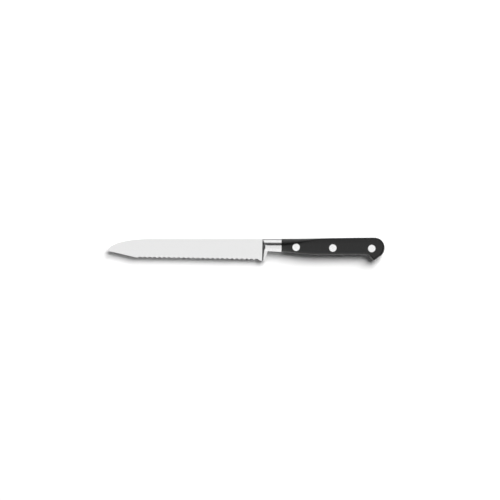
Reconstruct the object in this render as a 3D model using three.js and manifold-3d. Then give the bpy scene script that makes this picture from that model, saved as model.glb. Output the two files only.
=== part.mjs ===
// A serrated vegetable knife that lies on its right flank. Millimetres, +Z up.
//
// The pieces are one forging (blade, bolster and full tang), two handle scales, and three rivets of two halves
// each. They are drawn with x = 0 at the front of the bolster and x growing towards the butt, y = 0 at the spine
// with the cutting edge below it, and z = 0 midway through the blade. At the end the group is moved, so that its
// origin lies under the middle of its bounding box.

import * as THREE from "three";
import { mergeVertices } from "three/addons/utils/BufferGeometryUtils.js";
import Module from "manifold-3d";

const wasm = await Module();
wasm.setup();

// Blade
const BLADE_LENGTH = 120; // from the tip to the bolster
const SPINE_CURVE_LENGTH = 31; // the stretch of the spine that curves down to the tip
const SPINE_CURVE_FULLNESS = 26; // how far that curve runs on before it turns down
const SPINE_CURVE_SAG = 1.0; // how far it has dropped by then
const TIP_DEPTH = 8.6; // where the spine's curve ends, below the spine
const TIP_CORNER_DEPTH = 9.2; // where the plain edge would meet the front of the blade
const TIP_ROUND = 1.6; // the rounded stretch from that corner along the plain edge
const PLAIN_EDGE_LENGTH = 23.5; // from the tip to the first tooth
const TOOTH_DEPTH_FRONT = 14.8; // from the spine to the first tooth
const TOOTH_DEPTH_HEEL = 16.5; // from the spine to the last tooth
const SPINE_THICKNESS = 1.9; // at the bolster
const SPINE_THICKNESS_TIP = 1.6; // the spine's line of thickness where it reaches the tip
const EDGE_THICKNESS = 0.6; // at the last tooth, before the teeth are ground
const BLADE_ROOT = 1.2; // how far the blade's flanks run on inside the bolster

// Edge and teeth, ground from the right flank only
const GRIND_ANGLE = 20; // between the ground faces and the left flank, in degrees
const EDGE_LAND = 0.1; // the thickness that is left on the plain edge
const TOOTH_PITCH = 3.76;
const SCALLOP_DEPTH = 1.1; // from the tooth points to the hollows between them
const HEEL_LOBE = 2.5; // the plain stretch from the last tooth to the bolster

// Bolster
const BOLSTER_LENGTH = 15;
const BOLSTER_DEPTH_FRONT = 9.6;
const BOLSTER_DEPTH_REAR = 10.46;
const SHOULDER_LENGTH = 2.5; // the slope from the blade's flank up to the bolster's
const GUARD_DEPTH = 17.3; // the guard behind the heel, below the spine
const GUARD_WIDTH = 4; // along the knife, where the guard leaves the bolster
const GUARD_FILLET = 1.1; // where the guard starts to turn into the underside of the bolster
const GUARD_TOE_FULLNESS = 0.56; // how square the guard's lower end is: the share of it that stays low
const GUARD_REAR_FULLNESS = 0.87; // how upright its rear edge is: the share of its width reached halfway up
const GUARD_FADE_LENGTH = 2.6; // behind the guard, where it sinks into the bolster
const GUARD_FADE_RISE = 3.7; // how far its lower side rises there
const GUARD_FADE = 0.2; // the share of its thickness that the guard loses there
const GUARD_TAPER = 0.7; // how long the guard stays thick on its way down: below 1 it thins most at first
const GUARD_EDGE_ROUND = 0.7;
const GUARD_TOP_THICKNESS = 11.3; // across the guard inside the bolster
const GUARD_TOE_THICKNESS = 4.4; // across the guard's rounded lower end

// Grip, which is ground as one body with the bolster
const HANDLE_LENGTH = 79.9; // from the bolster to the butt
const GRIP_THICKNESS = 11.6;
const HANDLE_DEPTH = 12.86; // from the spine to the belly of the handle
const BELLY_LENGTH = 30; // the stretch over which the handle deepens behind the bolster
const BUTT_RADIUS = 7.95;
const BUTT_CENTRE_DEPTH = 7.1; // below the spine
const BUTT_SWEEP = 146; // of the butt's round, from its top, in degrees
const BEAK_EDGE_LENGTH = 6.1; // the straight edge from the butt's round to the corner of the beak
const BEAK_ROUND = 1.2; // the rounded stretch on each side of that corner
const HOOK_LENGTH = 7.4; // the stretch over which the belly turns down into the beak
const HOOK_BELLY_FULLNESS = 3.9; // how far the belly runs straight on into that turn
const HOOK_BEAK_FULLNESS = 1.8; // how far the beak's inner side runs straight up into it
const TOP_ROUNDING_FRONT = 5.7; // how far the round of the top edges reaches over the flank, at the bolster
const TOP_ROUNDING_REAR = 0.9; // the same, behind the stretch where the grip grows flatter
const TOP_CHANGE_LENGTH = 34; // that stretch, behind the bolster
const BELLY_ROUNDING_FRONT = 3.6; // the same three for the edges below
const BELLY_ROUNDING_REAR = 2.2;
const BELLY_CHANGE_LENGTH = 16;
const ROUNDING_GROWTH = 0.35; // how fast the round of an edge may widen along it
const ROUNDING_LIMIT_FRONT = 1.2; // the most of half the grip that a rounded edge takes, at the bolster
const ROUNDING_LIMIT = 0.94; // the same, behind the stretch where the grip grows flatter
const ROUNDING_ASPECT = 1.3; // the most that an edge's round reaches down, in its reach over the flank
const EDGE_FLAT = 2.6; // the unrounded strip along the grip's top and underside, at the bolster
const EDGE_FLAT_REAR = 6.2; // the same, behind that stretch
const TANG_THICKNESS = 2.4;

// Rivets: a sleeve with a head, and a pin with a head that is driven into it
const RIVET_HEAD_DIAMETER = 5.9;
const RIVET_HEAD_THICKNESS = 1.8;
const RIVET_PIN_DIAMETER = 2.6;
const RIVET_SLEEVE_WALL = 0.75;
const RIVET_CLEARANCE = 0.05; // round the heads, the sleeves and the pins
const RIVET_END_GAP = 0.4; // at the end of the sleeve and at the end of the pin
const FRONT_RIVET_SETBACK = 11.3; // from the bolster
const MIDDLE_RIVET_SETBACK = 39.7; // from the bolster
const REAR_RIVET_SETBACK = 10.1; // from the butt
const FRONT_RIVET_DEPTH = 6.6; // below the spine
const MIDDLE_RIVET_DEPTH = 7.2;
const REAR_RIVET_DEPTH = 7.55;

// Fineness of the facets
const CURVE_SEGMENTS = 16; // in each curve of an extruded outline
const SCALLOP_SEGMENTS = 6;
const GUARD_STEPS = 5; // down the guard's side, and round its edge
const OUTLINE_STEP = 3; // along the grip's outline
const BUTT_STEP = 1.4; // along the round of the butt
const OUTLINE_LEAST_STEPS = 5; // in each of the outline's curves
const ROUNDING_STEPS = 5;
const RIVET_SEGMENTS = 32;
const MERGE_DISTANCE = 1e-4;
const OVERSIZE = 3; // how far a cutter reaches past what it cuts

const GRIP_HALF = GRIP_THICKNESS / 2;
const TANG_HALF = TANG_THICKNESS / 2;
const BUTT_X = BOLSTER_LENGTH + HANDLE_LENGTH;
const KNIFE_DEPTH = Math.max(GUARD_DEPTH, BUTT_CENTRE_DEPTH + BUTT_RADIUS + BEAK_EDGE_LENGTH) + OVERSIZE;

const STEEL = new THREE.MeshStandardMaterial({ color: 0xcfd0d1, roughness: 0.28, metalness: 1 });
const HANDLE_PLASTIC = new THREE.MeshStandardMaterial({ color: 0x1d1d1e, roughness: 0.42, metalness: 0 });
const RIVET_METAL = new THREE.MeshStandardMaterial({ color: 0xe2e2e0, roughness: 0.2, metalness: 1 });

// Solids

// A closed geometry as a solid that can be joined and cut.
function solidOf(geometry) {
  const bare = geometry.clone();
  bare.deleteAttribute("normal");
  bare.deleteAttribute("uv");
  const merged = mergeVertices(bare, MERGE_DISTANCE);
  const mesh = new wasm.Mesh({
    numProp: 3,
    vertProperties: merged.getAttribute("position").array,
    triVerts: new Uint32Array(merged.index.array),
  });
  return new wasm.Manifold(mesh);
}

// A named mesh from a solid.
function meshOf(name, solid, material) {
  const { vertProperties, triVerts } = solid.getMesh();
  const geometry = new THREE.BufferGeometry();
  geometry.setAttribute("position", new THREE.BufferAttribute(vertProperties, 3));
  geometry.setIndex(new THREE.BufferAttribute(triVerts, 1));
  geometry.computeVertexNormals();
  const mesh = new THREE.Mesh(geometry, material);
  mesh.name = name;
  return mesh;
}

// A box between two corners.
function block(low, high) {
  const size = high.clone().sub(low);
  const centre = high.clone().add(low).multiplyScalar(0.5);
  return solidOf(new THREE.BoxGeometry(size.x, size.y, size.z).translate(centre.x, centre.y, centre.z));
}

// An outline carried a given distance, along +Z before it is placed.
function extruded(shape, depth, segments = CURVE_SEGMENTS) {
  return new THREE.ExtrudeGeometry(shape, { depth, bevelEnabled: false, curveSegments: segments });
}

// A closed body through a stack of rings, each with the same number of points. flatten gives a point's
// place in the plane across the stack, where every ring runs anticlockwise seen from the end of the stack.
function lofted(rings, flatten) {
  const count = rings[0].length;
  const triangles = [];
  for (let r = 0; r + 1 < rings.length; r++) {
    for (let i = 0; i < count; i++) {
      const next = (i + 1) % count;
      const [a, b, c, d] = [r * count + i, r * count + next, (r + 1) * count + next, (r + 1) * count + i];
      triangles.push(a, b, c, a, c, d);
    }
  }
  const cap = (ring) => THREE.ShapeUtils.triangulateShape(rings[ring].map(flatten), []);
  const last = rings.length - 1;
  cap(0).forEach(([a, b, c]) => triangles.push(a, c, b));
  cap(last).forEach((corners) => triangles.push(...corners.map((k) => last * count + k)));

  const geometry = new THREE.BufferGeometry();
  geometry.setFromPoints(rings.flat());
  geometry.setIndex(triangles);
  return solidOf(geometry);
}

// Blade

// Half of the blade's thickness: its flanks are flat, and thin towards the edge and towards the tip.
function bladeHalfThickness(x, y) {
  const towardsTip = (SPINE_THICKNESS - SPINE_THICKNESS_TIP) * (-x / BLADE_LENGTH);
  const towardsEdge = (SPINE_THICKNESS - EDGE_THICKNESS) * (-y / TOOTH_DEPTH_HEEL);
  return (SPINE_THICKNESS - towardsTip - towardsEdge) / 2;
}

const tipCorner = new THREE.Vector2(-BLADE_LENGTH, -TIP_CORNER_DEPTH);
const firstTooth = new THREE.Vector2(PLAIN_EDGE_LENGTH - BLADE_LENGTH, -TOOTH_DEPTH_FRONT);
const lastTooth = new THREE.Vector2(-HEEL_LOBE, -TOOTH_DEPTH_HEEL);
const plainEdge = firstTooth.clone().sub(tipCorner).normalize();

// The blade's side view, from the spine round the tip to the heel. Its root is buried in the bolster.
function bladeOutline() {
  const curveStart = SPINE_CURVE_LENGTH - BLADE_LENGTH;
  const plainEdgeStart = tipCorner.clone().addScaledVector(plainEdge, TIP_ROUND);
  const shape = new THREE.Shape();
  shape.moveTo(BLADE_ROOT, 0);
  shape.lineTo(curveStart, 0);
  shape.quadraticCurveTo(curveStart - SPINE_CURVE_FULLNESS, -SPINE_CURVE_SAG, -BLADE_LENGTH, -TIP_DEPTH);
  shape.quadraticCurveTo(tipCorner.x, tipCorner.y, plainEdgeStart.x, plainEdgeStart.y);
  shape.lineTo(firstTooth.x, firstTooth.y);
  shape.lineTo(lastTooth.x, lastTooth.y);
  shape.quadraticCurveTo(-HEEL_LOBE / 2, -GUARD_DEPTH, 0, -GUARD_DEPTH);
  shape.lineTo(BLADE_ROOT, GUARD_TOE_THICKNESS / 2 - GUARD_DEPTH);
  shape.closePath();
  return shape;
}

// The blade before its edge is ground: the side view, given its thickness point by point.
function bladeBlank() {
  const geometry = extruded(bladeOutline(), 2).translate(0, 0, -1);
  const position = geometry.getAttribute("position");
  for (let i = 0; i < position.count; i++) {
    const half = bladeHalfThickness(position.getX(i), position.getY(i));
    position.setZ(i, Math.sign(position.getZ(i)) * half);
  }
  return solidOf(geometry);
}

// A point of the side view, on the blade's left flank.
function onLeftFlank({ x, y }) {
  return new THREE.Vector3(x, y, bladeHalfThickness(x, y));
}

// What is ground off the right flank along the plain edge. The left flank stays flat down to its edge.
function plainGrind() {
  const start = onLeftFlank(tipCorner);
  const end = onLeftFlank(firstTooth);
  const rise = Math.tan(THREE.MathUtils.degToRad(GRIND_ANGLE));
  const reach = SPINE_THICKNESS / rise + OVERSIZE;
  const section = new THREE.Shape([
    new THREE.Vector2(-OVERSIZE, OVERSIZE * rise),
    new THREE.Vector2(-OVERSIZE, -reach * rise),
    new THREE.Vector2(reach, -reach * rise),
  ]);
  const along = end.clone().sub(start).normalize();
  const inward = new THREE.Vector3(-along.y, along.x, 0).normalize();
  const up = new THREE.Vector3().crossVectors(along, inward);
  const prism = extruded(section, end.distanceTo(start) + OVERSIZE).translate(0, 0, -OVERSIZE);
  prism.applyMatrix4(new THREE.Matrix4().makeBasis(inward, up, along));
  prism.translate(start.x, start.y, start.z - EDGE_LAND);
  return solidOf(prism);
}

// What the grinding wheel takes off: a row of shallow round hollows, carried along the grinding direction.
// The tooth points stay on the left flank, and the hollows run out over the right one.
function scallops() {
  const start = onLeftFlank(firstTooth);
  const end = onLeftFlank(lastTooth);
  const angle = THREE.MathUtils.degToRad(GRIND_ANGLE);
  const length = end.distanceTo(start);
  const count = Math.max(1, Math.round(length / TOOTH_PITCH));
  const pitch = length / count;
  const sagitta = SCALLOP_DEPTH * Math.sin(angle);
  const radius = (pitch * pitch / 4 + sagitta * sagitta) / (2 * sagitta);
  const halfSweep = Math.asin(pitch / 2 / radius);
  const wheel = new THREE.Shape();
  wheel.moveTo(-OVERSIZE, -OVERSIZE);
  wheel.lineTo(0, 0);
  for (let i = 0; i < count; i++) {
    const centre = (i + 0.5) * pitch;
    wheel.absarc(centre, sagitta - radius, radius, Math.PI / 2 + halfSweep, Math.PI / 2 - halfSweep, true);
  }
  wheel.lineTo(length + OVERSIZE, -OVERSIZE);
  wheel.closePath();

  const along = end.clone().sub(start).normalize();
  const grinding = new THREE.Vector3(0, Math.cos(angle), -Math.sin(angle));
  const normal = new THREE.Vector3().crossVectors(along, grinding).normalize();
  const outward = new THREE.Vector3().crossVectors(along, normal);
  const reach = SPINE_THICKNESS / Math.sin(angle) + OVERSIZE;
  const cutter = extruded(wheel, reach + OVERSIZE, SCALLOP_SEGMENTS).translate(0, 0, -reach);
  cutter.applyMatrix4(new THREE.Matrix4().makeBasis(along, normal, outward));
  cutter.translate(start.x, start.y, start.z);
  return solidOf(cutter);
}

// Grip

// The side view of the ground grip, as points from the front of its top, round the butt and the beak, to the
// front of its underside. It starts ahead of the bolster, which is cut from the same body.
function gripOutline() {
  const buttX = BUTT_X - BUTT_RADIUS;
  const buttTop = BUTT_RADIUS - BUTT_CENTRE_DEPTH;
  const bellyX = BOLSTER_LENGTH + BELLY_LENGTH;
  const sweepEnd = THREE.MathUtils.degToRad(90 - BUTT_SWEEP);
  const underside = (BOLSTER_DEPTH_REAR - BOLSTER_DEPTH_FRONT) / BOLSTER_LENGTH;

  const edgeStart = new THREE.Vector2(Math.cos(sweepEnd), Math.sin(sweepEnd)).multiplyScalar(BUTT_RADIUS);
  edgeStart.add(new THREE.Vector2(buttX, -BUTT_CENTRE_DEPTH));
  const edge = new THREE.Vector2(Math.sin(sweepEnd), -Math.cos(sweepEnd));
  const beak = edgeStart.clone().addScaledVector(edge, BEAK_EDGE_LENGTH);
  const beakStart = beak.clone().addScaledVector(edge, -BEAK_ROUND);
  const inner = new THREE.Vector2(-1, 1).normalize();
  const beakEnd = beak.clone().addScaledVector(inner, BEAK_ROUND);
  const hook = new THREE.Vector2(beak.x - HOOK_LENGTH, -HANDLE_DEPTH);

  const path = new THREE.Path();
  path.moveTo(-OVERSIZE, 0);
  path.lineTo(BOLSTER_LENGTH, 0);
  const topThird = (buttX - BOLSTER_LENGTH) / 3;
  path.bezierCurveTo(BOLSTER_LENGTH + topThird, 0, buttX - topThird, buttTop, buttX, buttTop);
  path.absarc(buttX, -BUTT_CENTRE_DEPTH, BUTT_RADIUS, Math.PI / 2, sweepEnd, true);
  path.lineTo(beakStart.x, beakStart.y);
  path.quadraticCurveTo(beak.x, beak.y, beakEnd.x, beakEnd.y);
  const hookEnd = beakEnd.clone().addScaledVector(inner, HOOK_BEAK_FULLNESS);
  path.bezierCurveTo(hookEnd.x, hookEnd.y, hook.x + HOOK_BELLY_FULLNESS, hook.y, hook.x, hook.y);
  path.lineTo(bellyX, -HANDLE_DEPTH);
  const bellyThird = BELLY_LENGTH / 3;
  const rearDepth = BOLSTER_DEPTH_REAR + underside * bellyThird;
  path.bezierCurveTo(
    bellyX - bellyThird, -HANDLE_DEPTH,
    BOLSTER_LENGTH + bellyThird, -rearDepth,
    BOLSTER_LENGTH, -BOLSTER_DEPTH_REAR,
  );
  path.lineTo(-OVERSIZE, -BOLSTER_DEPTH_FRONT + underside * OVERSIZE);

  const points = path.curves.flatMap((curve) => {
    const step = curve.isEllipseCurve ? BUTT_STEP : OUTLINE_STEP;
    const steps = Math.max(OUTLINE_LEAST_STEPS, Math.ceil(curve.getLength() / step));
    return curve.getSpacedPoints(steps).slice(0, -1);
  });
  points.push(path.currentPoint.clone());
  return points;
}

// The inward direction at each point of the grip's outline.
function inwardNormals(points) {
  return points.map((_, i) => {
    const before = points[Math.max(i - 1, 0)];
    const after = points[Math.min(i + 1, points.length - 1)];
    const run = after.clone().sub(before).normalize();
    return new THREE.Vector2(run.y, -run.x);
  });
}

// The radius of the largest disc that touches the outline at a point from inside and crosses it nowhere else.
function roomAt(points, index, normal) {
  let room = Infinity;
  points.forEach((other, i) => {
    if (i === index) return;
    const offset = other.clone().sub(points[index]);
    const inward = offset.dot(normal);
    if (inward > 0) room = Math.min(room, offset.lengthSq() / (2 * inward));
  });
  return room;
}

// The ground grip and bolster as one body: rounded like an egg at the bolster, then flat on its flanks with
// softened edges. Each ring of points is the outline, drawn in and raised a little further round the edge.
function gripBody() {
  const outline = gripOutline();
  const normals = inwardNormals(outline);
  const belows = normals.map((normal) => THREE.MathUtils.smoothstep(normal.y, -1, 0.4));
  const changes = outline.map((point, i) => {
    const length = THREE.MathUtils.lerp(TOP_CHANGE_LENGTH, BELLY_CHANGE_LENGTH, belows[i]);
    return THREE.MathUtils.smoothstep(point.x, BOLSTER_LENGTH, BOLSTER_LENGTH + length);
  });
  const limits = outline.map((_, i) => {
    const front = THREE.MathUtils.lerp(TOP_ROUNDING_FRONT, BELLY_ROUNDING_FRONT, belows[i]);
    const rear = THREE.MathUtils.lerp(TOP_ROUNDING_REAR, BELLY_ROUNDING_REAR, belows[i]);
    const share = THREE.MathUtils.lerp(ROUNDING_LIMIT_FRONT, ROUNDING_LIMIT, changes[i]);
    return Math.min(THREE.MathUtils.lerp(front, rear, changes[i]), share * roomAt(outline, i, normals[i]));
  });
  const widths = outline.map((point) => Math.min(
    ...limits.map((limit, j) => limit + ROUNDING_GROWTH * point.distanceTo(outline[j])),
  ));
  const heights = changes.map((change, i) => {
    const flat = THREE.MathUtils.lerp(EDGE_FLAT, EDGE_FLAT_REAR, change);
    return Math.min(GRIP_HALF - flat / 2, ROUNDING_ASPECT * widths[i]);
  });

  const ringAt = (angle, side) => outline.map((point, i) => {
    const inset = widths[i] * (1 - Math.cos(angle));
    const z = GRIP_HALF - heights[i] * (1 - Math.sin(angle));
    return new THREE.Vector3(point.x + normals[i].x * inset, point.y + normals[i].y * inset, side * z);
  }).reverse();
  const angles = Array.from({ length: ROUNDING_STEPS + 1 }, (_, k) => Math.PI / 2 * k / ROUNDING_STEPS);
  const rightSide = angles.map((angle) => ringAt(angle, -1)).reverse();
  const leftSide = angles.map((angle) => ringAt(angle, 1));
  return lofted([...rightSide, ...leftSide], (point) => new THREE.Vector2(point.x, point.y));
}

// Bolster

// The guard that drops from the bolster behind the heel. Each section across it is a drop that narrows
// downwards and ends at the guard's rear edge. Behind that edge the sections shrink into the bolster.
function guard() {
  const top = -BOLSTER_DEPTH_FRONT / 2;
  const rearTop = -BOLSTER_DEPTH_FRONT - GUARD_FILLET;
  const end = GUARD_WIDTH + GUARD_FADE_LENGTH;
  const profile = new THREE.Path();
  profile.moveTo(0, -GUARD_DEPTH);
  profile.bezierCurveTo(
    GUARD_WIDTH * GUARD_TOE_FULLNESS, -GUARD_DEPTH,
    GUARD_WIDTH * GUARD_REAR_FULLNESS, (rearTop - GUARD_DEPTH) / 2,
    GUARD_WIDTH, rearTop,
  );
  profile.quadraticCurveTo(GUARD_WIDTH, rearTop + GUARD_FADE_RISE / 2, end, rearTop + GUARD_FADE_RISE);

  const toe = GUARD_TOE_THICKNESS / 2;
  const halfThickness = (y) => {
    const drop = (top - y) / (top + GUARD_DEPTH);
    return toe + (GUARD_TOP_THICKNESS / 2 - toe) * (1 - drop ** GUARD_TAPER);
  };
  const rings = profile.getPoints(CURVE_SEGMENTS).map(({ x, y: bottom }) => {
    const shrink = 1 - GUARD_FADE * THREE.MathUtils.smoothstep(x, GUARD_WIDTH / 2, end);
    const corner = bottom + GUARD_EDGE_ROUND;
    const half = [];
    for (let k = 0; k <= GUARD_STEPS; k++) {
      const y = THREE.MathUtils.lerp(top, corner, k / GUARD_STEPS);
      half.push(new THREE.Vector3(x, y, shrink * halfThickness(y)));
    }
    const edge = shrink * halfThickness(corner);
    for (let k = 1; k <= GUARD_STEPS; k++) {
      const angle = Math.PI / 2 * k / GUARD_STEPS;
      const z = edge - GUARD_EDGE_ROUND * (1 - Math.cos(angle));
      half.push(new THREE.Vector3(x, corner - GUARD_EDGE_ROUND * Math.sin(angle), z));
    }
    const mirrored = half.map((point) => new THREE.Vector3(point.x, point.y, -point.z)).reverse();
    return [...half, ...mirrored];
  });
  return lofted(rings, (point) => new THREE.Vector2(point.y, point.z));
}

// The room that the bolster may fill: sloped shoulders that rise from the blade's flanks, then parallel flanks.
function shoulders() {
  const start = EDGE_THICKNESS / 2;
  const plan = new THREE.Shape([
    new THREE.Vector2(0, -start),
    new THREE.Vector2(SHOULDER_LENGTH, -GRIP_HALF),
    new THREE.Vector2(BOLSTER_LENGTH, -GRIP_HALF),
    new THREE.Vector2(BOLSTER_LENGTH, GRIP_HALF),
    new THREE.Vector2(SHOULDER_LENGTH, GRIP_HALF),
    new THREE.Vector2(0, start),
  ]);
  const room = extruded(plan, KNIFE_DEPTH + OVERSIZE);
  const down = new THREE.Vector3(0, -1, 0);
  const across = new THREE.Vector3(0, 0, 1);
  room.applyMatrix4(new THREE.Matrix4().makeBasis(new THREE.Vector3(1, 0, 0), across, down));
  return solidOf(room.translate(0, OVERSIZE, 0));
}

// Rivets

const headFloor = GRIP_HALF - RIVET_HEAD_THICKNESS;
const headRadius = RIVET_HEAD_DIAMETER / 2;
const pinRadius = RIVET_PIN_DIAMETER / 2;
const boreRadius = pinRadius + RIVET_CLEARANCE;
const sleeveRadius = boreRadius + RIVET_SLEEVE_WALL;
const beyondFlank = GRIP_HALF + OVERSIZE;
const rivets = [
  { name: "front_rivet", x: BOLSTER_LENGTH + FRONT_RIVET_SETBACK, y: -FRONT_RIVET_DEPTH },
  { name: "middle_rivet", x: BOLSTER_LENGTH + MIDDLE_RIVET_SETBACK, y: -MIDDLE_RIVET_DEPTH },
  { name: "rear_rivet", x: BUTT_X - REAR_RIVET_SETBACK, y: -REAR_RIVET_DEPTH },
];

// A round solid about a rivet's axis, from a profile of [radius, z] that starts and ends on the axis.
function turned(rivet, profile) {
  const points = profile.map(([radius, z]) => new THREE.Vector2(radius, z));
  const lathe = new THREE.LatheGeometry(points, RIVET_SEGMENTS).rotateX(Math.PI / 2);
  return solidOf(lathe.translate(rivet.x, rivet.y, 0));
}

// The hole that the scales and the tang share: a bore for the sleeve and a seat for each head.
function rivetHole(rivet) {
  const seat = headRadius + RIVET_CLEARANCE;
  const bore = sleeveRadius + RIVET_CLEARANCE;
  return turned(rivet, [
    [0, -beyondFlank], [seat, -beyondFlank], [seat, -headFloor], [bore, -headFloor],
    [bore, headFloor], [seat, headFloor], [seat, beyondFlank], [0, beyondFlank],
  ]);
}

// The half whose head is on the left flank. Its sleeve reaches almost to the other head.
function rivetSleeve(rivet) {
  const mouth = RIVET_END_GAP - headFloor;
  return turned(rivet, [
    [0, headFloor], [boreRadius, headFloor], [boreRadius, mouth], [sleeveRadius, mouth],
    [sleeveRadius, headFloor], [headRadius, headFloor], [headRadius, beyondFlank], [0, beyondFlank],
  ]);
}

// The half whose head is on the right flank. Its pin is driven into the sleeve.
function rivetPin(rivet) {
  const point = headFloor - RIVET_END_GAP;
  return turned(rivet, [
    [0, -beyondFlank], [headRadius, -beyondFlank], [headRadius, -headFloor],
    [pinRadius, -headFloor], [pinRadius, point], [0, point],
  ]);
}

// Assembly

const grip = gripBody();
const holes = rivets.map(rivetHole);
const drilled = (solid) => holes.reduce((left, hole) => left.subtract(hole), solid);
const farX = BUTT_X + OVERSIZE;

// The part of the ground grip between two heights, from a given x to the butt.
function gripSlice(fromX, lowZ, highZ) {
  const low = new THREE.Vector3(fromX, -KNIFE_DEPTH, lowZ);
  return grip.intersect(block(low, new THREE.Vector3(farX, KNIFE_DEPTH, highZ)));
}

function forgedBlade() {
  const blade = bladeBlank().subtract(plainGrind()).subtract(scallops());
  const bolster = grip.add(guard()).intersect(shoulders());
  const tang = gripSlice(BOLSTER_LENGTH / 2, -TANG_HALF, TANG_HALF);
  return drilled(blade.add(bolster).add(tang));
}

const knife = new THREE.Group();
knife.add(meshOf("forged_blade", forgedBlade(), STEEL));
knife.add(meshOf("left_scale", drilled(gripSlice(BOLSTER_LENGTH, TANG_HALF, beyondFlank)), HANDLE_PLASTIC));
knife.add(meshOf("right_scale", drilled(gripSlice(BOLSTER_LENGTH, -beyondFlank, -TANG_HALF)), HANDLE_PLASTIC));
for (const rivet of rivets) {
  knife.add(meshOf(`${rivet.name}_sleeve`, rivetSleeve(rivet).intersect(grip), RIVET_METAL));
  knife.add(meshOf(`${rivet.name}_pin`, rivetPin(rivet).intersect(grip), RIVET_METAL));
}

const bounds = new THREE.Box3().setFromObject(knife);
const middle = bounds.getCenter(new THREE.Vector3());
knife.position.set(-middle.x, -middle.y, -bounds.min.z);

export default knife;
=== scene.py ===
import math

import bmesh
import bpy
import numpy as np
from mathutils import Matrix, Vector
from mathutils.bvhtree import BVHTree


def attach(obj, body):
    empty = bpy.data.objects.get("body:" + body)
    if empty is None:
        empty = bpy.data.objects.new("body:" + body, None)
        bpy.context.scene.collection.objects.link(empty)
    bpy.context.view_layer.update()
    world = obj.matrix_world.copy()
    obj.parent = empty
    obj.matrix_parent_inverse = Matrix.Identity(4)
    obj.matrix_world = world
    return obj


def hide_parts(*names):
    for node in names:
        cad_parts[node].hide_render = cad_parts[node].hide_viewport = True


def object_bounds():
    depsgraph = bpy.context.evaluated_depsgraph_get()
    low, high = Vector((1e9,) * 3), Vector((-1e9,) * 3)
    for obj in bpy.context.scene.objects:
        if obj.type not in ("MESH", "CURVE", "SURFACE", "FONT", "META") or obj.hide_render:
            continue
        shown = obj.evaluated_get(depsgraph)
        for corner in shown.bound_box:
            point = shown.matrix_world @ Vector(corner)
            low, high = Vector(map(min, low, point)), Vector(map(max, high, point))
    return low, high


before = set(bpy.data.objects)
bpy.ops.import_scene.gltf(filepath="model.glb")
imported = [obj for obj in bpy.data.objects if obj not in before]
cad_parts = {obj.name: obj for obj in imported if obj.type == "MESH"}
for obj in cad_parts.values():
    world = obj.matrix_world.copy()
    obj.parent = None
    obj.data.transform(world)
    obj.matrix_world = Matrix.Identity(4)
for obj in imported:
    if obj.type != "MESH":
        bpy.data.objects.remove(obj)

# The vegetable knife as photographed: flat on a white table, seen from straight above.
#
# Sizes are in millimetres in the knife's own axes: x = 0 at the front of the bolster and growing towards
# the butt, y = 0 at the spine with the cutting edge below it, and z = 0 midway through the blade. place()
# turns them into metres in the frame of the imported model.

cad_low, cad_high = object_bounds()
MILLIMETRE = 0.001

# Blade
BLADE_LENGTH = 120.0
SPINE_CURVE_LENGTH = 31.0
SPINE_CURVE_FULLNESS = 26.0
SPINE_CURVE_SAG = 1.0
TIP_DEPTH = 8.6
TIP_CORNER_DEPTH = 9.2
TIP_ROUND = 1.6
PLAIN_EDGE_LENGTH = 23.5
TOOTH_DEPTH_FRONT = 14.8
TOOTH_DEPTH_HEEL = 16.5
SPINE_THICKNESS = 1.9
SPINE_THICKNESS_TIP = 1.6
EDGE_THICKNESS = 0.6
EDGE_LAND = 0.06
BLADE_ROOT = 1.2
SPINE_CHAMFER = 0.14
CHAMFER_LIMIT = 0.3  # the most of the blade's depth that the chamfer takes where the tip is narrow

# Teeth
TOOTH_PITCH = 3.76
SCALLOP_DEPTH = 1.1
GRIND_ANGLE = 20.0
HEEL_LOBE = 2.5
HEEL_FULLNESS = 0.85  # how round the heel is: the share of the lobe that lies low
GRIND_RUN_OUT = 0.7
GRIND_LIMIT = 0.8  # the most of the blade's depth that the ground face takes
GRIND_BREAK = 0.02  # how far the upper line of the ground face stays from the edge where there is none

# Bolster and guard
BOLSTER_LENGTH = 15.0
BOLSTER_DEPTH_FRONT = 9.6
BOLSTER_DEPTH_REAR = 10.46
SHOULDER_LENGTH = 2.5
SHOULDER_SOFTNESS = 0.45
SHOULDER_LEAN = 0.5  # how much shorter the shoulders are at the spine
SHOULDER_LEAN_DEPTH = 5.5  # how far below the spine they have their full length
GUARD_DEPTH = 17.1
GUARD_WIDTH = 4.0
GUARD_FILLET = 1.1
GUARD_TOE_FULLNESS = 0.56
GUARD_REAR_FULLNESS = 0.87
GUARD_FADE_LENGTH = 2.6
GUARD_FADE_RISE = 3.7
GUARD_FADE = 0.2
GUARD_TAPER = 0.7
GUARD_EDGE_ROUND = 0.7
GUARD_TOP_THICKNESS = 11.3
GUARD_TOE_THICKNESS = 4.4
GUARD_SOFTNESS = 0.8
GUARD_SINK = 2.0  # how steeply the guard sinks into the barrel above its top
LEAST_SOFTNESS = 1e-6
LEAST_HALF = 0.05

# Grip
HANDLE_LENGTH = 79.9
GRIP_THICKNESS = 11.6
HANDLE_DEPTH = 12.5
BELLY_LENGTH = 30.0
BUTT_RADIUS = 7.95
BUTT_CENTRE_DEPTH = 7.1
BUTT_SWEEP = 146.0
BEAK_EDGE_LENGTH = 6.1
BEAK_ROUND = 1.2
HOOK_LENGTH = 7.4
HOOK_BELLY_FULLNESS = 3.9
HOOK_BEAK_FULLNESS = 1.8
TOP_ROUNDING_FRONT = 5.7
TOP_ROUNDING_REAR = 0.9
TOP_CHANGE_LENGTH = 34.0
BELLY_ROUNDING_FRONT = 3.6
BELLY_ROUNDING_REAR = 2.2
BELLY_CHANGE_LENGTH = 16.0
ROUNDING_GROWTH = 0.35
ROUNDING_LIMIT_FRONT = 1.2
ROUNDING_LIMIT = 0.94
ROUNDING_ASPECT = 1.3
EDGE_FLAT = 2.6
EDGE_FLAT_REAR = 6.2
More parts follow.
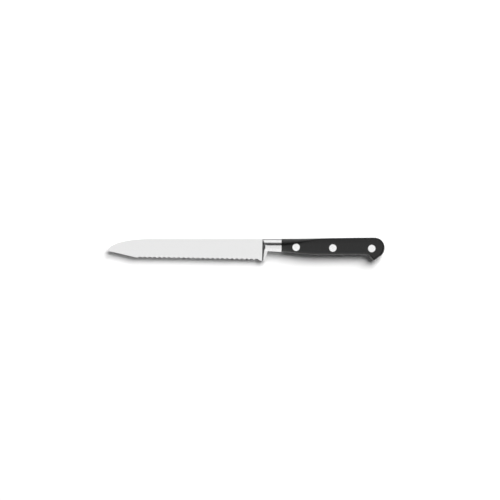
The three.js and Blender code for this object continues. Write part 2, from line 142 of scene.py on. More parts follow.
BELLY_TURN = (-1.0, 0.4)  # the y of the inward normal, from the top's rounding to the belly's
TANG_THICKNESS = 2.4
SEAM = 0.04  # the fine chamfer along the edges of the scales where they meet steel
SEAM_GAP = 0.002

# Rivets
RIVET_HEAD_DIAMETER = 5.9
RIVET_HEAD_THICKNESS = 1.8
RIVET_PIN_DIAMETER = 2.6
RIVET_SLEEVE_WALL = 0.75
RIVET_CLEARANCE = 0.05
RIVET_END_GAP = 0.4
RIVET_RIM = 0.12  # the softened rim of a head
HEAD_RING_SHARES = (0.85, 0.6, 0.35, 0.1)  # rings on the face of a head, as shares of its radius
AXIS_RADIUS = 0.05  # the small flat at the middle of a turned face
CUTTER_REACH = 2.0  # how far the cutter of a rivet's hole stands out of the handle
PROBE_HEIGHT = 5.0  # how far above the handle the probe for its surface starts
RIVETS = {
    "front_rivet": (BOLSTER_LENGTH + 11.3, -6.6),
    "middle_rivet": (BOLSTER_LENGTH + 39.7, -7.2),
    "rear_rivet": (BOLSTER_LENGTH + HANDLE_LENGTH - 10.1, -7.55),
}

# Fineness
OUTLINE_STEP = 0.6
LEAST_STEPS = 3
SPINE_STEPS = 200
TIP_STEPS = 60
HEEL_STEPS = 30
TIP_COLUMNS = 14
TIP_COLUMN_START = 0.04  # the first column's place, on a scale that crowds the columns at the tip
PLAIN_COLUMNS = 40
COLUMNS_PER_TOOTH = 14
HEEL_COLUMNS = 16
ROOT_COLUMNS = 4
LEFT_ROWS = 9
RIGHT_ROWS = 8
GUARD_STEPS = 100
FADE_STEPS = 60
BARREL_STEPS = 16
BOLSTER_ROWS = 100
BUTT_STEPS = 48
BEAK_EDGE_STEPS = 12
BEAK_STEPS = 16
HOOK_STEPS = 24
ROUNDING_STEPS = 14
RIM_STEPS = 5
RIVET_SEGMENTS = 96
MERGE_DISTANCE = 1e-7  # metres
CREASE_ANGLE = 28  # degrees, above which an edge stays sharp
TINY = 1e-9

GRIP_HALF = GRIP_THICKNESS / 2
TANG_HALF = TANG_THICKNESS / 2
BUTT_X = BOLSTER_LENGTH + HANDLE_LENGTH
SHIFT = np.array([
    cad_low.x / MILLIMETRE + BLADE_LENGTH,
    cad_high.y / MILLIMETRE - (BUTT_RADIUS - BUTT_CENTRE_DEPTH),
    GRIP_HALF,
])


def place(points):
    """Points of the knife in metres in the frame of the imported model."""
    return (np.asarray(points, dtype=float) + SHIFT) * MILLIMETRE


def smoothstep(value, low, high):
    t = np.clip((value - low) / (high - low), 0.0, 1.0)
    return t * t * (3 - 2 * t)


def smooth_min(a, b, width):
    """The lesser of two heights, with the crease between them rounded over that width."""
    share = np.clip(0.5 + 0.5 * (b - a) / width, 0.0, 1.0)
    return b + (a - b) * share - width * share * (1 - share)


def smooth_max(a, b, width):
    return -smooth_min(-a, -b, width)


# Curves

def line(start, end, count):
    return np.linspace(start, end, count + 1)


def quadratic(start, control, end, count):
    t = np.linspace(0, 1, count + 1)[:, None]
    start, control, end = np.array(start), np.array(control), np.array(end)
    return (1 - t) ** 2 * start + 2 * t * (1 - t) * control + t ** 2 * end


def cubic(start, control_a, control_b, end, count):
    t = np.linspace(0, 1, count + 1)[:, None]
    start, control_a, control_b, end = (np.array(p) for p in (start, control_a, control_b, end))
    middle = 3 * t * (1 - t) ** 2 * control_a + 3 * t ** 2 * (1 - t) * control_b
    return (1 - t) ** 3 * start + middle + t ** 3 * end


def arc(centre, radius, start, end, count):
    angles = np.linspace(start, end, count + 1)
    return np.array(centre) + radius * np.stack([np.cos(angles), np.sin(angles)], axis=1)


def joined(*curves):
    """Curves that follow one another, as one line of points with no point twice."""
    return np.concatenate([curve[:-1] for curve in curves[:-1]] + [curves[-1]])


# Meshes

def loft(rings):
    """Points and faces of a closed body through a stack of closed rings with the same number of points."""
    rings = np.asarray(rings)
    count = rings.shape[1]
    faces = []
    for r in range(len(rings) - 1):
        for i in range(count):
            j = (i + 1) % count
            faces.append((r * count + i, r * count + j, (r + 1) * count + j, (r + 1) * count + i))
    faces.append(tuple(range(count)))
    faces.append(tuple((len(rings) - 1) * count + i for i in range(count)))
    return rings.reshape(-1, 3), faces


def solid(name, points, faces, materials, material_index=0):
    """A closed mesh object, with its faces turned outwards."""
    mesh = bpy.data.meshes.new(name)
    mesh.from_pydata([tuple(p) for p in place(points)], [], faces)
    shape = bmesh.new()
    shape.from_mesh(mesh)
    bmesh.ops.remove_doubles(shape, verts=shape.verts, dist=MERGE_DISTANCE)
    bmesh.ops.recalc_face_normals(shape, faces=shape.faces)
    for face in shape.faces:
        face.material_index = material_index
    shape.to_mesh(mesh)
    shape.free()
    for material in materials:
        mesh.materials.append(material)
    obj = bpy.data.objects.new(name, mesh)
    bpy.context.scene.collection.objects.link(obj)
    return obj


def combine(obj, other, operation):
    """Joins other to obj, or cuts it away, and removes other."""
    modifier = obj.modifiers.new(operation, "BOOLEAN")
    modifier.object = other
    modifier.operation = operation
    modifier.solver = "EXACT"
    depsgraph = bpy.context.evaluated_depsgraph_get()
    made = bpy.data.meshes.new_from_object(obj.evaluated_get(depsgraph))
    obj.modifiers.clear()
    obj.data = made
    bpy.data.objects.remove(other)


KNIFE = bpy.data.collections.new("knife")  # the pieces that the reflected lamps light


def finish_piece(obj, nodes):
    """Shades the piece smooth but for its creases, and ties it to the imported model."""
    obj.data.shade_smooth()
    obj.data.set_sharp_from_angle(angle=math.radians(CREASE_ANGLE))
    KNIFE.objects.link(obj)
    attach(obj, "root")
    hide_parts(*nodes)


# Materials

NOISE_DETAIL = 3.0
NOISE_ROUGHNESS = 0.6
NOISE_RANGE = (0.3, 0.7)  # the usual least and most of the noise
# Where the normal turns to the spine's side the bolster gets a rougher finish and a darker colour, which is
# painted shade.
SPINE_TURN = (0.60, 0.79)  # the y of a face's normal, from the flanks' finish to the spine's
LEVEL_SPREAD = 0.03
ROUGHNESS_SPREAD = 0.05
SPINE_SPREAD = 0.05
BUMP_DISTANCE = 2e-5  # metres
PLASTIC_IOR = 1.48
PLASTIC_LEVEL = (0.001, 0.003)
PLASTIC_ROUGHNESS = (0.20, 0.28)
PLASTIC_GRAIN = (900, 2600, 2600)
PLASTIC_BUMP = 0.05


class Nodes:
    """A material's node tree, with short calls to add and join nodes."""

    def __init__(self, name):
        self.material = bpy.data.materials.new(name)
        self.material.use_nodes = True
        self.tree = self.material.node_tree
        self.shader = self.tree.nodes["Principled BSDF"]

    def add(self, kind, **inputs):
        node = self.tree.nodes.new(kind)
        for key, value in inputs.items():
            if key in node.inputs:
                node.inputs[key].default_value = value
            else:
                setattr(node, key, value)
        return node

    def join(self, source, target):
        self.tree.links.new(source, target)

    def set(self, **values):
        for key, value in values.items():
            self.shader.inputs[key.replace("_", " ")].default_value = value

    def streaks(self, scale):
        """Fine noise in the piece's own coordinates, drawn out along the axes with a small scale."""
        coordinates = self.add("ShaderNodeTexCoord")
        mapping = self.add("ShaderNodeMapping")
        mapping.inputs["Scale"].default_value = scale
        noise = self.add("ShaderNodeTexNoise", Scale=1.0, Detail=NOISE_DETAIL, Roughness=NOISE_ROUGHNESS)
        self.join(coordinates.outputs["Object"], mapping.inputs["Vector"])
        self.join(mapping.outputs["Vector"], noise.inputs["Vector"])
        return noise.outputs["Fac"]

    def spread(self, source, low, high):
        """A value from low to high as the source goes from its usual least to its usual most."""
        ranged = self.add("ShaderNodeMapRange")
        for key, value in zip(("From Min", "From Max", "To Min", "To Max"), (*NOISE_RANGE, low, high)):
            ranged.inputs[key].default_value = value
        self.join(source, ranged.inputs["Value"])
        return ranged.outputs["Result"]

    def grey(self, source, low, high):
        """A grey between two levels, as a colour."""
        combined = self.add("ShaderNodeCombineColor")
        level = self.spread(source, low, high)
        for channel in ("Red", "Green", "Blue"):
            self.join(level, combined.inputs[channel])
        return combined.outputs["Color"]

    def facing_spine(self):
        """1 on the faces that look to the spine's side, 0 on the flanks, by the piece's own normal."""
        coordinates = self.add("ShaderNodeTexCoord")
        normal = self.add("ShaderNodeSeparateXYZ")
        share = self.add("ShaderNodeMapRange", interpolation_type="SMOOTHSTEP")
        share.inputs["From Min"].default_value, share.inputs["From Max"].default_value = SPINE_TURN
        self.join(coordinates.outputs["Normal"], normal.inputs["Vector"])
        self.join(normal.outputs["Y"], share.inputs["Value"])
        return share.outputs["Result"]

    def mix(self, share, first, second, kind):
        """The first value where share is 0, the second where it is 1."""
        mixed = self.add("ShaderNodeMix", data_type=kind)
        sockets = [socket for socket in mixed.inputs if socket.enabled]
        for source, socket in zip((share, first, second), sockets):
            self.join(source, socket)
        return next(socket for socket in mixed.outputs if socket.enabled)

    def bump(self, source, strength):
        bump = self.add("ShaderNodeBump", Strength=strength, Distance=BUMP_DISTANCE)
        self.join(source, bump.inputs["Height"])
        self.join(bump.outputs["Normal"], self.shader.inputs["Normal"])


def ground_steel(name, level, roughness, scale, strength, spine=None):
    """Steel with the fine parallel marks of a grinding belt.

    spine is the level and roughness of the faces that look to the spine's side: they are rougher, and their
    lower level is painted shade, a dark reflection put into the colour.
    """
    nodes = Nodes(name)
    nodes.set(Metallic=1.0)
    marks = nodes.streaks(scale)
    colour = nodes.grey(marks, level - LEVEL_SPREAD, level + LEVEL_SPREAD)
    gloss = nodes.spread(marks, roughness - ROUGHNESS_SPREAD, roughness + ROUGHNESS_SPREAD)
    if spine:
        spine_shade_level, spine_roughness = spine
        share = nodes.facing_spine()
        # Painted shade: the faces that look to the spine's side get a darker grey, for the dark that they
        # would reflect.
        painted_spine_shade = nodes.grey(marks, spine_shade_level - SPINE_SPREAD, spine_shade_level + SPINE_SPREAD)
        spine_gloss = nodes.spread(marks, spine_roughness - SPINE_SPREAD, spine_roughness + SPINE_SPREAD)
        colour = nodes.mix(share, colour, painted_spine_shade, "RGBA")
        gloss = nodes.mix(share, gloss, spine_gloss, "FLOAT")
    nodes.join(colour, nodes.shader.inputs["Base Color"])
    nodes.join(gloss, nodes.shader.inputs["Roughness"])
    nodes.bump(marks, strength)
    return nodes.material


def black_plastic():
    """Dense black plastic, buffed to a soft sheen."""
    nodes = Nodes("handle plastic")
    nodes.set(IOR=PLASTIC_IOR)
    grain = nodes.streaks(PLASTIC_GRAIN)
    nodes.join(nodes.grey(grain, *PLASTIC_LEVEL), nodes.shader.inputs["Base Color"])
    nodes.join(nodes.spread(grain, *PLASTIC_ROUGHNESS), nodes.shader.inputs["Roughness"])
    nodes.bump(grain, PLASTIC_BUMP)
    return nodes.material


FORGING_MATERIALS = (
    ground_steel("blade steel", level=0.82, roughness=0.20, scale=(9000, 260, 9000), strength=0.06),
    ground_steel(
        "polished bolster", level=0.76, roughness=0.17, scale=(700, 5000, 5000), strength=0.03,
        # The spine side's level of 0.34 is painted shade; its roughness of 0.34 is a real duller finish.
        spine=(0.34, 0.34),
    ),
    ground_steel("tang steel", level=0.74, roughness=0.26, scale=(300, 9000, 9000), strength=0.08),
)
BLADE_FINISH, BOLSTER_FINISH, TANG_FINISH = range(3)
RIVET_METAL = ground_steel("rivet metal", level=0.92, roughness=0.20, scale=(700, 7000, 7000), strength=0.04)
HANDLE_PLASTIC = black_plastic()


# Blade

def blade_half_thickness(x, y):
    towards_tip = (SPINE_THICKNESS - SPINE_THICKNESS_TIP) * (-x / BLADE_LENGTH)
    towards_edge = (SPINE_THICKNESS - EDGE_THICKNESS) * (-y / TOOTH_DEPTH_HEEL)
    return (SPINE_THICKNESS - towards_tip - towards_edge) / 2


def blade():
    """The ground blade, as sections across it from the tip to its root inside the bolster."""
    tip_corner = np.array([-BLADE_LENGTH, -TIP_CORNER_DEPTH])
    first_tooth = np.array([PLAIN_EDGE_LENGTH - BLADE_LENGTH, -TOOTH_DEPTH_FRONT])
    last_tooth = np.array([-HEEL_LOBE, -TOOTH_DEPTH_HEEL])
    plain_edge = (first_tooth - tip_corner) / np.linalg.norm(first_tooth - tip_corner)
    plain_start = tip_corner + TIP_ROUND * plain_edge

    curve_start = SPINE_CURVE_LENGTH - BLADE_LENGTH
    spine_control = (curve_start - SPINE_CURVE_FULLNESS, -SPINE_CURVE_SAG)
    spine = quadratic((-BLADE_LENGTH, -TIP_DEPTH), spine_control, (curve_start, 0), SPINE_STEPS)
    tip = quadratic((-BLADE_LENGTH, -TIP_DEPTH), tip_corner, plain_start, TIP_STEPS)
    heel_control = (-HEEL_LOBE * HEEL_FULLNESS, -GUARD_DEPTH)
    heel = quadratic(last_tooth, heel_control, (0, -GUARD_DEPTH), HEEL_STEPS)
    root = np.array([[BLADE_ROOT, GUARD_TOE_THICKNESS / 2 - GUARD_DEPTH]])
    base_edge = np.concatenate([tip, [first_tooth], heel, root])

    tooth_count = round((last_tooth[0] - first_tooth[0]) / TOOTH_PITCH)
    teeth_x = np.linspace(first_tooth[0], last_tooth[0], tooth_count * COLUMNS_PER_TOOTH + 1)
    tip_shares = np.linspace(TIP_COLUMN_START, 1, TIP_COLUMNS) ** 2
    columns = np.concatenate([
        -BLADE_LENGTH + (plain_start[0] + BLADE_LENGTH) * tip_shares,
        np.linspace(plain_start[0], first_tooth[0], PLAIN_COLUMNS)[1:-1],
        teeth_x,
        np.linspace(last_tooth[0], 0, HEEL_COLUMNS)[1:],
        np.linspace(0, BLADE_ROOT, ROOT_COLUMNS)[1:],
    ])
    columns = np.unique(np.append(columns, last_tooth[0] + GRIND_RUN_OUT))

    angle = math.radians(GRIND_ANGLE)
    pitch = (last_tooth[0] - first_tooth[0]) / tooth_count
    sagitta = SCALLOP_DEPTH * math.sin(angle)
    radius = (pitch ** 2 / 4 + sagitta ** 2) / (2 * sagitta)
    flank_slope = (SPINE_THICKNESS - EDGE_THICKNESS) / 2 / TOOTH_DEPTH_HEEL
    # How far a point leaves the plane of the ground face for each millimetre that it climbs on a flank
    left_climb = math.sin(angle) + flank_slope * math.cos(angle)
    right_climb = math.sin(angle) - flank_slope * math.cos(angle)

    rings = []
    for x in columns:
        top = np.interp(x, spine[:, 0], spine[:, 1])
        bottom = np.interp(x, base_edge[:, 0], base_edge[:, 1])
        half = blade_half_thickness(x, bottom)
        heeled = np.clip((x - last_tooth[0]) / GRIND_RUN_OUT, 0, 1)
        across = (x - first_tooth[0]) % pitch - pitch / 2
        inside = first_tooth[0] < x < last_tooth[0]
        hollow = sagitta - radius + math.sqrt(radius ** 2 - across ** 2) if inside else 0.0
        edge = bottom + hollow / left_climb
        ground_width = (hollow + 2 * half * math.cos(angle)) / right_climb
        ground_width = min(ground_width, GRIND_LIMIT * (top - bottom))
        edge_half = blade_half_thickness(x, edge)
        right_break = bottom + ground_width * (1 - heeled) + GRIND_BREAK
        edge_right = edge_half - EDGE_LAND - heeled * (2 * edge_half - EDGE_LAND)

        chamfer = min(SPINE_CHAMFER, CHAMFER_LIMIT * (top - edge))
        left_y = np.linspace(top - chamfer, edge, LEFT_ROWS)
        right_y = np.linspace(top - chamfer, right_break, RIGHT_ROWS)
        crest = blade_half_thickness(x, top) - SPINE_CHAMFER
        left = [(x, top, crest)]
        left += [(x, y, blade_half_thickness(x, y)) for y in left_y]
        right = [(x, top, -crest)]
        right += [(x, y, -blade_half_thickness(x, y)) for y in right_y]
        right.append((x, edge, edge_right))
        rings.append(left + right[::-1])
    return solid("blade", *loft(rings), FORGING_MATERIALS, BLADE_FINISH)


# Grip

def underside_slope():
    return (BOLSTER_DEPTH_REAR - BOLSTER_DEPTH_FRONT) / BOLSTER_LENGTH


def grip_outline(start_x):
    """The side view of the grip: from start_x along the top, round the butt and the beak, and back below."""
    butt_x = BUTT_X - BUTT_RADIUS
    butt_top = BUTT_RADIUS - BUTT_CENTRE_DEPTH
    belly_x = BOLSTER_LENGTH + BELLY_LENGTH
    sweep_end = math.radians(90 - BUTT_SWEEP)
    edge_start = np.array([butt_x, -BUTT_CENTRE_DEPTH])
    edge_start = edge_start + BUTT_RADIUS * np.array([math.cos(sweep_end), math.sin(sweep_end)])
    edge = np.array([math.sin(sweep_end), -math.cos(sweep_end)])
    inner = np.array([-1.0, 1.0]) / math.sqrt(2)
    beak = edge_start + BEAK_EDGE_LENGTH * edge
    beak_start = beak - BEAK_ROUND * edge
    beak_end = beak + BEAK_ROUND * inner
    hook = np.array([beak[0] - HOOK_LENGTH, -HANDLE_DEPTH])
    top_third = (butt_x - BOLSTER_LENGTH) / 3
    belly_third = BELLY_LENGTH / 3
    rear_depth = BOLSTER_DEPTH_REAR + underside_slope() * belly_third
    start_depth = BOLSTER_DEPTH_REAR + underside_slope() * (start_x - BOLSTER_LENGTH)

    def steps(length):
        return max(LEAST_STEPS, round(length / OUTLINE_STEP))

    curves = []
    if start_x < BOLSTER_LENGTH:
        curves.append(line((start_x, 0), (BOLSTER_LENGTH, 0), steps(BOLSTER_LENGTH - start_x)))
    curves += [
        cubic(
            (BOLSTER_LENGTH, 0), (BOLSTER_LENGTH + top_third, 0),
            (butt_x - top_third, butt_top), (butt_x, butt_top),
            steps(3 * top_third),
        ),
        arc((butt_x, -BUTT_CENTRE_DEPTH), BUTT_RADIUS, math.pi / 2, sweep_end, BUTT_STEPS),
        line(edge_start, beak_start, BEAK_EDGE_STEPS),
        quadratic(beak_start, beak, beak_end, BEAK_STEPS),
        cubic(
            beak_end, beak_end + HOOK_BEAK_FULLNESS * inner,
            hook + (HOOK_BELLY_FULLNESS, 0), hook,
            HOOK_STEPS,
        ),
        line(hook, (belly_x, -HANDLE_DEPTH), steps(hook[0] - belly_x)),
        cubic(
            (belly_x, -HANDLE_DEPTH), (belly_x - belly_third, -HANDLE_DEPTH),
            (BOLSTER_LENGTH + belly_third, -rear_depth), (BOLSTER_LENGTH, -BOLSTER_DEPTH_REAR),
            steps(BELLY_LENGTH),
        ),
    ]
    if start_x < BOLSTER_LENGTH:
        end = (start_x, -start_depth)
        curves.append(line((BOLSTER_LENGTH, -BOLSTER_DEPTH_REAR), end, steps(BOLSTER_LENGTH - start_x)))
    return joined(*curves)


def inward_normals(outline):
    run = np.gradient(outline, axis=0)
    run /= np.linalg.norm(run, axis=1, keepdims=True)
    normals = np.stack([run[:, 1], -run[:, 0]], axis=1)
    normals[0] = (0, -1)
    normals[-1] = (0, 1)
    return normals


def rounding(outline, normals):
    """How far the round of the edge reaches over the flank, and how far down the side, at each point."""
    offsets = outline[None, :, :] - outline[:, None, :]
    inward = np.einsum("ijk,ik->ij", offsets, normals)
    distance = np.linalg.norm(offsets, axis=2)
    radii = distance ** 2 / (2 * np.maximum(inward, TINY))
    room = np.where(inward > TINY, radii, np.inf).min(axis=1)
    below = smoothstep(normals[:, 1], *BELLY_TURN)
    change_length = TOP_CHANGE_LENGTH + (BELLY_CHANGE_LENGTH - TOP_CHANGE_LENGTH) * below
    change = smoothstep((outline[:, 0] - BOLSTER_LENGTH) / change_length, 0, 1)
    front = TOP_ROUNDING_FRONT + (BELLY_ROUNDING_FRONT - TOP_ROUNDING_FRONT) * below
    rear = TOP_ROUNDING_REAR + (BELLY_ROUNDING_REAR - TOP_ROUNDING_REAR) * below
    share = ROUNDING_LIMIT_FRONT + (ROUNDING_LIMIT - ROUNDING_LIMIT_FRONT) * change
    limits = np.minimum(front + (rear - front) * change, share * room)
    widths = (limits[None, :] + ROUNDING_GROWTH * distance).min(axis=1)
    flats = EDGE_FLAT + (EDGE_FLAT_REAR - EDGE_FLAT) * change
    return widths, np.minimum(GRIP_HALF - flats / 2, ROUNDING_ASPECT * widths)


def scale_rings(side):
    """The rings of one scale, from its inner face by the tang out to its flat flank."""
    outline = grip_outline(BOLSTER_LENGTH + SEAM / 2)
    outline[:, 0] = np.maximum(outline[:, 0], BOLSTER_LENGTH + SEAM / 2)
    normals = inward_normals(outline)
    widths, heights = rounding(outline, normals)

    def ring(inset, z):
        points = outline + normals * np.reshape(inset, (-1, 1))
        return np.column_stack([points, side * np.broadcast_to(z, len(points))])

    rings = [ring(SEAM, TANG_HALF + SEAM_GAP), ring(0.0, TANG_HALF + SEAM)]
    for angle in np.linspace(0, math.pi / 2, ROUNDING_STEPS + 1):
        inset = widths * (1 - math.cos(angle))
        rings.append(ring(inset, GRIP_HALF - heights * (1 - math.sin(angle))))
    return rings


def tang():
    outline = grip_outline(BOLSTER_LENGTH / 2)
    rings = [np.column_stack([outline, np.full(len(outline), z)]) for z in (-TANG_HALF, TANG_HALF)]
    return solid("tang", *loft(rings), FORGING_MATERIALS, TANG_FINISH)


# Bolster

def bolster():
    """The polished bolster with its guard: sections across it, each a height over the side view."""
    rear_top = -BOLSTER_DEPTH_FRONT - GUARD_FILLET
    fade_end = GUARD_WIDTH + GUARD_FADE_LENGTH
    rear_middle = (rear_top - GUARD_DEPTH) / 2
    guard_curve = cubic(
        (0, -GUARD_DEPTH), (GUARD_WIDTH * GUARD_TOE_FULLNESS, -GUARD_DEPTH),
        (GUARD_WIDTH * GUARD_REAR_FULLNESS, rear_middle), (GUARD_WIDTH, rear_top), GUARD_STEPS,
    )
    fade_curve = quadratic(
        (GUARD_WIDTH, rear_top), (GUARD_WIDTH, rear_top + GUARD_FADE_RISE / 2),
        (fade_end, rear_top + GUARD_FADE_RISE), FADE_STEPS,
    )
    fillet_end = GUARD_WIDTH + GUARD_FILLET
    fillet_depth = -BOLSTER_DEPTH_FRONT - underside_slope() * fillet_end
    barrel_start = (fillet_end, fillet_depth)
    barrel_end = (BOLSTER_LENGTH - SEAM / 2, -BOLSTER_DEPTH_REAR)
    fillet = quadratic((GUARD_WIDTH, rear_top), (GUARD_WIDTH, fillet_depth), barrel_start, BARREL_STEPS)
    barrel = line(barrel_start, barrel_end, BARREL_STEPS)
    stations = joined(guard_curve, fillet, barrel)
    guard_bottom = joined(guard_curve, fade_curve)
    shoulder_slope = (GRIP_HALF - EDGE_THICKNESS / 2) / SHOULDER_LENGTH
    guard_top = -BOLSTER_DEPTH_FRONT / 2
    toe = GUARD_TOE_THICKNESS / 2
    barrel_height = GRIP_HALF - EDGE_FLAT / 2

    rings = []
    for x, bottom in stations:
        share = (1 - np.cos(np.linspace(0, math.pi, BOLSTER_ROWS))) / 2
        y = bottom * share

        barrel_bottom = -BOLSTER_DEPTH_FRONT - underside_slope() * x
        inset = np.minimum(-y / TOP_ROUNDING_FRONT, (y - barrel_bottom) / BELLY_ROUNDING_FRONT)
        turn = np.arccos(1 - np.clip(inset, 0, 1))
        oval = np.where(y >= barrel_bottom, GRIP_HALF - barrel_height * (1 - np.sin(turn)), 0.0)

        drop = np.clip((guard_top - y) / (guard_top + GUARD_DEPTH), 0, 1)
        thick = toe + (GUARD_TOP_THICKNESS / 2 - toe) * (1 - drop ** GUARD_TAPER)
        thick = thick * (1 - GUARD_FADE * smoothstep(x, GUARD_WIDTH / 2, fade_end))
        above = np.clip(y - np.interp(x, guard_bottom[:, 0], guard_bottom[:, 1]), 0, GUARD_EDGE_ROUND)
        rim = GUARD_EDGE_ROUND - np.sqrt(GUARD_EDGE_ROUND ** 2 - (GUARD_EDGE_ROUND - above) ** 2)
        guard = np.where((above > 0) | (x <= GUARD_WIDTH), thick - rim, 0.0)
        guard = guard - GUARD_SINK * np.maximum(0, y - guard_top)
        if x > fade_end:
            guard = np.zeros_like(y)

        softness = GUARD_SOFTNESS * smoothstep(fade_end - x, 0, GUARD_FADE_LENGTH) + LEAST_SOFTNESS
        half = smooth_max(oval, guard, softness)
        half = np.clip(half, min(EDGE_FLAT / 2, toe), GRIP_HALF)
        shortened = 1 - SHOULDER_LEAN * (1 - smoothstep(-y, 0, SHOULDER_LEAN_DEPTH))
        shoulder = EDGE_THICKNESS / 2 + shoulder_slope * x / shortened
        half = smooth_min(half, shoulder, SHOULDER_SOFTNESS)
        half = np.maximum(half, LEAST_HALF)
        left = np.column_stack([np.full_like(y, x), y, half])
        right = np.column_stack([np.full_like(y, x), y, -half])
        rings.append(np.concatenate([left, right[::-1]]))
    return solid("bolster", *loft(rings), FORGING_MATERIALS, BOLSTER_FINISH)


# Rivets

HEAD_FLOOR = GRIP_HALF - RIVET_HEAD_THICKNESS
HEAD_RADIUS = RIVET_HEAD_DIAMETER / 2
BORE_RADIUS = RIVET_PIN_DIAMETER / 2 + RIVET_CLEARANCE
SLEEVE_RADIUS = BORE_RADIUS + RIVET_SLEEVE_WALL


def circle(centre, radius, z):
    angles = np.linspace(0, 2 * math.pi, RIVET_SEGMENTS, endpoint=False)
    x = centre[0] + radius * np.cos(angles)
    y = centre[1] + radius * np.sin(angles)
    return np.column_stack([x, y, np.full(RIVET_SEGMENTS, z)])


def hole(centre):
    seat = HEAD_RADIUS + RIVET_CLEARANCE
    bore = SLEEVE_RADIUS + RIVET_CLEARANCE
    far = GRIP_HALF + CUTTER_REACH
    profile = [
        (seat, -far), (seat, -HEAD_FLOOR), (bore, -HEAD_FLOOR),
        (bore, HEAD_FLOOR), (seat, HEAD_FLOOR), (seat, far),
    ]
    rings = [circle(centre, radius, z) for radius, z in profile]
    return solid("hole", *loft(rings), FORGING_MATERIALS, TANG_FINISH)


def head_rings(centre, surface):
    """The face of a rivet's head, from its rim inwards, lying in the ground surface of the left flank."""
    rings = []
    for turn in np.linspace(0, math.pi / 2, RIM_STEPS + 1):
        radius = HEAD_RADIUS - RIVET_RIM * (1 - math.cos(turn))
        rings.append((radius, RIVET_RIM * (1 - math.sin(turn))))
    rings += [(HEAD_RADIUS * share, 0.0) for share in HEAD_RING_SHARES]
    made = []
    for radius, below in rings:
        ring = circle(centre, radius, 0.0)
        for point in ring:
            origin = Vector(place((point[0], point[1], GRIP_HALF + PROBE_HEIGHT)))
            hit = surface.ray_cast(origin, Vector((0, 0, -1)))[0]
            point[2] = hit.z / MILLIMETRE - GRIP_HALF - below
        made.append(ring)
    return made


def rivet_halves(name, centre, surface):
    """The sleeve with its head on the left flank, and the pin with its head on the right one."""
    face = head_rings(centre, surface)
    mouth = RIVET_END_GAP - HEAD_FLOOR
    pin = RIVET_PIN_DIAMETER / 2
    sleeve_profile = [
        (AXIS_RADIUS, HEAD_FLOOR), (BORE_RADIUS, HEAD_FLOOR), (BORE_RADIUS, mouth), (SLEEVE_RADIUS, mouth),
        (SLEEVE_RADIUS, HEAD_FLOOR), (HEAD_RADIUS, HEAD_FLOOR),
    ]
    pin_profile = [
        (AXIS_RADIUS, HEAD_FLOOR - RIVET_END_GAP), (pin, HEAD_FLOOR - RIVET_END_GAP),
        (pin, -HEAD_FLOOR), (HEAD_RADIUS, -HEAD_FLOOR),
    ]
    mirrored = [ring * (1, 1, -1) for ring in face]
    for half, rings in {
        f"{name}_sleeve": [circle(centre, radius, z) for radius, z in sleeve_profile] + face,
        f"{name}_pin": [circle(centre, radius, z) for radius, z in pin_profile] + mirrored,
    }.items():
        obj = solid(f"{half}_turned", *loft(rings), [RIVET_METAL])
        finish_piece(obj, [half])


# The knife

left_scale = solid("left_scale_ground", *loft(scale_rings(1)), [HANDLE_PLASTIC])
right_scale = solid("right_scale_ground", *loft(scale_rings(-1)), [HANDLE_PLASTIC])
flank = BVHTree.FromObject(left_scale, bpy.context.evaluated_depsgraph_get())
forging = blade()
combine(forging, bolster(), "UNION")
combine(forging, tang(), "UNION")
for rivet_name, rivet_centre in RIVETS.items():
    rivet_halves(rivet_name, rivet_centre, flank)
    for piece in (forging, left_scale, right_scale):
        combine(piece, hole(rivet_centre), "DIFFERENCE")
forging.name = "forging"
finish_piece(forging, ["forged_blade"])
finish_piece(left_scale, ["left_scale"])
finish_piece(right_scale, ["right_scale"])


# Table

FLOOR_HALF = 12.0  # metres
FLOOR_FADE = (0.5, 1.6)  # metres from the knife, where the lit table gives way to the white distance
TABLE_GRAIN = (40, 40, 40)
TABLE_LEVEL = (0.90, 0.92)


def white_where_seen(tree):
    """1 for rays from the camera and those that gloss and glass send on, 0 for those that light things."""
    rays = tree.nodes.new("ShaderNodeLightPath")
    share = rays.outputs["Is Camera Ray"]
    for kind in ("Is Glossy Ray", "Is Transmission Ray"):
        either = tree.nodes.new("ShaderNodeMath")
        either.operation = "MAXIMUM"
        tree.links.new(share, either.inputs[0])
        tree.links.new(rays.outputs[kind], either.inputs[1])
        share = either.outputs["Value"]
    return share


def white_table():
    """A matt white table that keeps the knife's shadow and is plain white in the distance."""
    nodes = Nodes("white table")
    nodes.set(Roughness=1.0, Specular_IOR_Level=0.0)
    grain = nodes.streaks(TABLE_GRAIN)
    nodes.join(nodes.grey(grain, *TABLE_LEVEL), nodes.shader.inputs["Base Color"])
    coordinates = nodes.add("ShaderNodeTexCoord")
    distance = nodes.add("ShaderNodeVectorMath", operation="LENGTH")
    fade = nodes.add("ShaderNodeMapRange", interpolation_type="SMOOTHSTEP")
    fade.inputs["From Min"].default_value, fade.inputs["From Max"].default_value = FLOOR_FADE
    both = nodes.add("ShaderNodeMath", operation="MULTIPLY")
    white = nodes.add("ShaderNodeEmission", Strength=1.0)
    blend = nodes.add("ShaderNodeMixShader")
    nodes.join(coordinates.outputs["Object"], distance.inputs[0])
    nodes.join(distance.outputs["Value"], fade.inputs["Value"])
    nodes.join(fade.outputs["Result"], both.inputs[0])
    nodes.join(white_where_seen(nodes.tree), both.inputs[1])
    nodes.join(both.outputs["Value"], blend.inputs["Fac"])
    nodes.join(nodes.shader.outputs["BSDF"], blend.inputs[1])
    nodes.join(white.outputs["Emission"], blend.inputs[2])
    nodes.join(blend.outputs["Shader"], nodes.tree.nodes["Material Output"].inputs["Surface"])
    return nodes.material


floor_corners = [(x * FLOOR_HALF, y * FLOOR_HALF, 0) for x, y in ((-1, -1), (1, -1), (1, 1), (-1, 1))]
floor_mesh = bpy.data.meshes.new("table")
floor_mesh.from_pydata(floor_corners, [], [(0, 1, 2, 3)])
floor_mesh.materials.append(white_table())
floor = bpy.data.objects.new("table", floor_mesh)
bpy.context.scene.collection.objects.link(floor)


# Light

